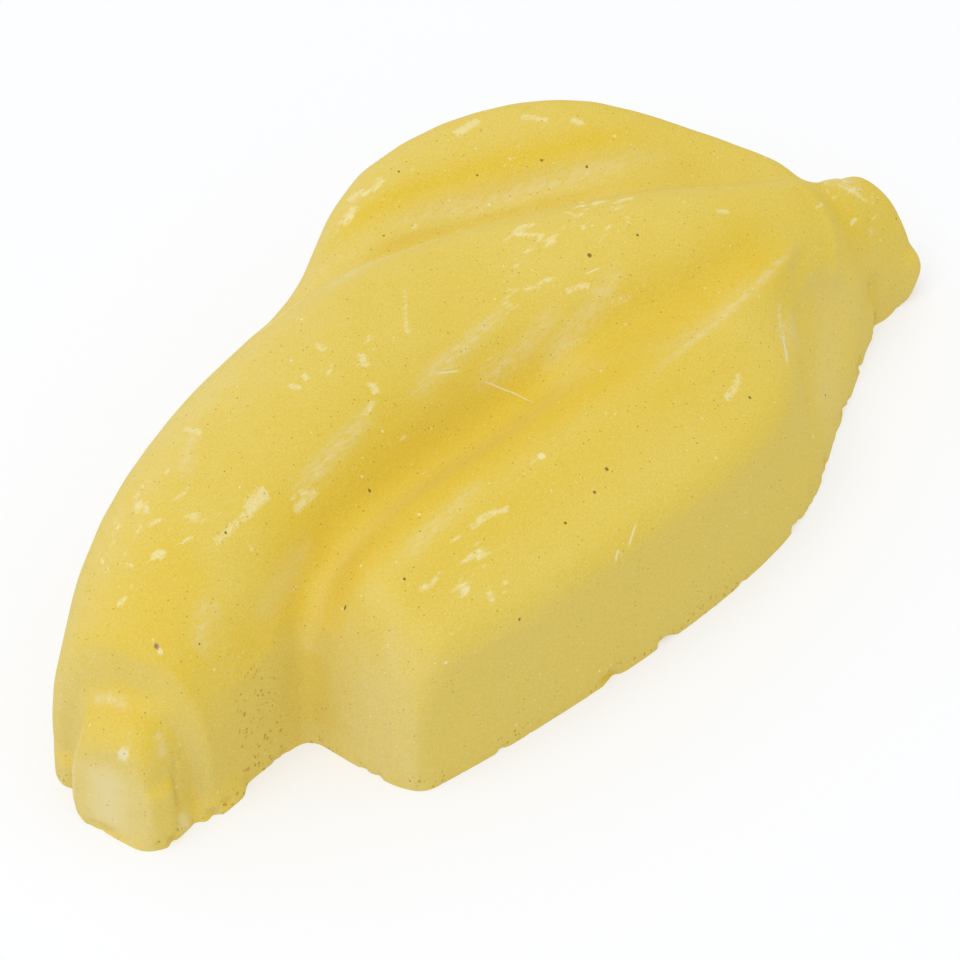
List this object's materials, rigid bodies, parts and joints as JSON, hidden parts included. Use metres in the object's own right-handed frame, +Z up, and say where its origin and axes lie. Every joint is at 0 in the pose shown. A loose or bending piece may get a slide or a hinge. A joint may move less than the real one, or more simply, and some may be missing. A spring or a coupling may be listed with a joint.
{
  "type": "banana-bunch relief bar",
  "caption": "Hand-held one-piece cast bar of matte yellow clay-like compound, moulded as a half-relief bunch of bananas with a shared crown and cut stem, resting on a flat underside.",
  "frame": {"origin": "centre of the overall box on the flat underside, where the bar rests", "axes": "+X from the tips to the cut stem, the long way; +Y to the back banana; +Z up out of the flat underside, the thin way"},
  "size_m": [0.1228, 0.0582, 0.0323],
  "materials": {
    "middle_cast": "matte",
    "front_cast": "matte",
    "back_cast": "matte",
    "crown_cast": "matte"
  },
  "bodies": {
    "root": {"middle_banana": "middle_cast", "front_banana": "front_cast", "back_banana": "back_cast", "crown_stem": "crown_cast"}
  },
  "joints": []
}
